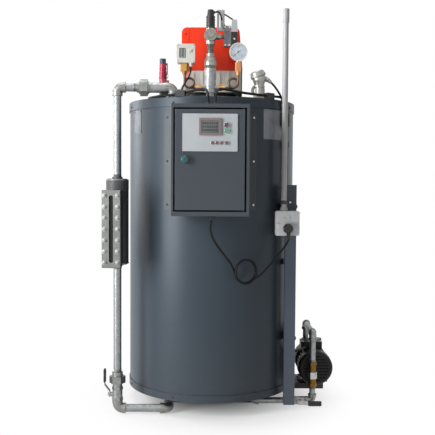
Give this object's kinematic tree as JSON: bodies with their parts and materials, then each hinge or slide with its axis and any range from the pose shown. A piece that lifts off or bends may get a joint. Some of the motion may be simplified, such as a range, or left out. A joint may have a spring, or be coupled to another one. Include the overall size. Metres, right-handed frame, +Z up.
{
  "type": "vertical steam boiler",
  "caption": "Small vertical steam boiler: round jacket with a burner on its lid, control box with hinged door, water column with valve lever, instruments, socket post and feed pump.",
  "frame": {"origin": "on the floor, on the axis of the round jacket, at the underside of the base frame", "axes": "+X to the right and +Y away from someone facing the control box, +Z up along the jacket's axis"},
  "size_m": [0.813, 0.857, 1.392],
  "materials": {
    "jacket_paint": "satin slate grey paint",
    "box_paint": "satin slate grey paint",
    "post_paint": "satin blue grey paint",
    "base_paint": "black paint",
    "galvanised": "galvanised pipe and fittings",
    "zinc_sheet": "zinc-plated sheet",
    "column_steel": "brushed steel",
    "brass": "bare brass",
    "copper": "bare copper tube",
    "hood_paint": "glossy orange red paint",
    "casting": "bare aluminium casting",
    "black_metal": "black paint",
    "valve_red": "crimson paint",
    "panel": "pale grey film",
    "screen": "grey display",
    "button_red": "dark red caps",
    "lock_teal": "teal knob",
    "switch_grey": "light grey case",
    "gauge_case": "bright steel case",
    "glass": "dark sight glass",
    "socket_grey": "light grey plastic",
    "conduit_grey": "pale grey plastic",
    "black_plastic": "black plastic",
    "cable": "black sheath",
    "grip": "black dipped lever",
    "pump_black": "black paint",
    "cast": "dark casting",
    "transmitter": "grey housing",
    "riser": "galvanised malleable iron"
  },
  "bodies": {
    "boiler": {"base_frame": "base_paint", "bottom_pan": "jacket_paint", "jacket": "jacket_paint", "lid": "jacket_paint", "flue_collar": "zinc_sheet", "steam_outlet": "galvanised", "burner_flange": "black_metal", "burner_body": "casting", "burner_hood": "hood_paint", "control_box": "box_paint", "box_brackets": "box_paint", "mounting_plate": "zinc_sheet", "cable_glands": "black_plastic", "water_column": "column_steel", "gauge_cover": "column_steel", "gauge_glass": "glass", "column_elbows": "galvanised", "column_pipes": "galvanised", "column_unions": "galvanised", "column_valve": "galvanised", "safety_valve": "valve_red", "manifold": "galvanised", "brass_fittings": "brass", "siphon_pipes": "copper", "pressure_switch": "switch_grey", "pressure_gauge": "gauge_case", "sensor_riser": "riser", "sensor_cap": "black_plastic", "transmitter": "transmitter", "level_probe": "casting", "lifting_eyes": "galvanised", "socket_post": "post_paint", "post_brackets": "post_paint", "socket_box": "socket_grey", "conduit": "conduit_grey", "plug": "black_plastic", "pump_bed": "base_paint", "pump_motor": "pump_black", "fan_cowl": "pump_black", "terminal_box": "pump_black", "pump_head": "cast", "feed_elbows": "galvanised", "feed_pipes": "galvanised", "check_valve": "brass", "feed_valve": "galvanised", "mains_lead_coil": "cable", "mains_lead_upper": "cable", "mains_lead_lower": "cable", "burner_lead": "cable", "pump_lead": "cable", "lead_clips": "black_plastic", "probe_lead": "cable", "sensor_lead": "cable"},
    "box_door": {"door": "box_paint", "display_panel": "panel", "display_screen": "screen", "panel_buttons": "button_red", "door_lock": "lock_teal"},
    "column_lever": {"column_valve_lever": "grip"},
    "feed_lever": {"feed_valve_lever": "grip"}
  },
  "joints": [
    {"name": "door_hinge", "type": "hinge", "parent": "boiler", "child": "box_door", "pos_m": [0.099, -0.4555, 0.867], "axis": [0, 0, 1], "range_deg": [0, 105]},
    {"name": "column_lever_turn", "type": "hinge", "parent": "boiler", "child": "column_lever", "pos_m": [-0.344, -0.24, 0.068], "axis": [1, 0, 0], "range_deg": [0, 90]},
    {"name": "feed_lever_turn", "type": "hinge", "parent": "boiler", "child": "feed_lever", "pos_m": [0.32, -0.162, 0.017], "axis": [0, -1, 0], "range_deg": [0, 90]}
  ]
}
